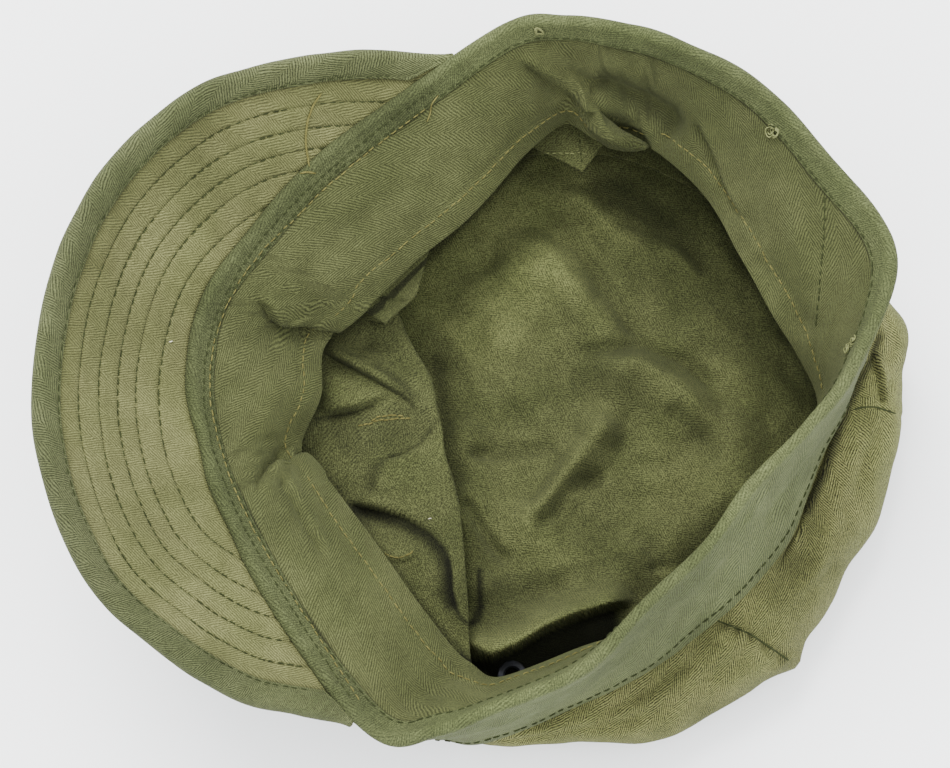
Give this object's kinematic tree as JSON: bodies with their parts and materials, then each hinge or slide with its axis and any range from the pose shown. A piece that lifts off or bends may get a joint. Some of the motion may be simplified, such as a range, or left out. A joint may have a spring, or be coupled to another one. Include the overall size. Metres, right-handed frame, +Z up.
{
  "type": "field cap",
  "caption": "Soft olive herringbone field cap with a row-stitched peak, wide sweatband and slumped crown, lying upside down with its head opening up.",
  "frame": {"origin": "on the table under the middle of the cap's box, as it lies upside down on its crown", "axes": "+X away from the peak, +Y towards the cap's left side as worn, +Z up out of the head opening"},
  "size_m": [0.247, 0.2096, 0.1055],
  "materials": {
    "crown_cloth": "faded yellow-olive herringbone twill, plain reverse inside",
    "band_cloth": "faded grey-green herringbone twill",
    "sweatband_cloth": "grey-green herringbone twill, worn smooth",
    "peak_panel_cloth": "sun-faded khaki herringbone with rows of dark stitching",
    "peak_cover_cloth": "darker green herringbone twill",
    "eyelet_metal": "dull grey metal"
  },
  "bodies": {
    "root": {"crown_top": "crown_cloth", "crown_side": "crown_cloth", "outer_band": "band_cloth", "sweatband": "sweatband_cloth", "peak_panel": "peak_panel_cloth", "peak_cover": "peak_cover_cloth", "vent_eyelet": "eyelet_metal"}
  },
  "joints": []
}
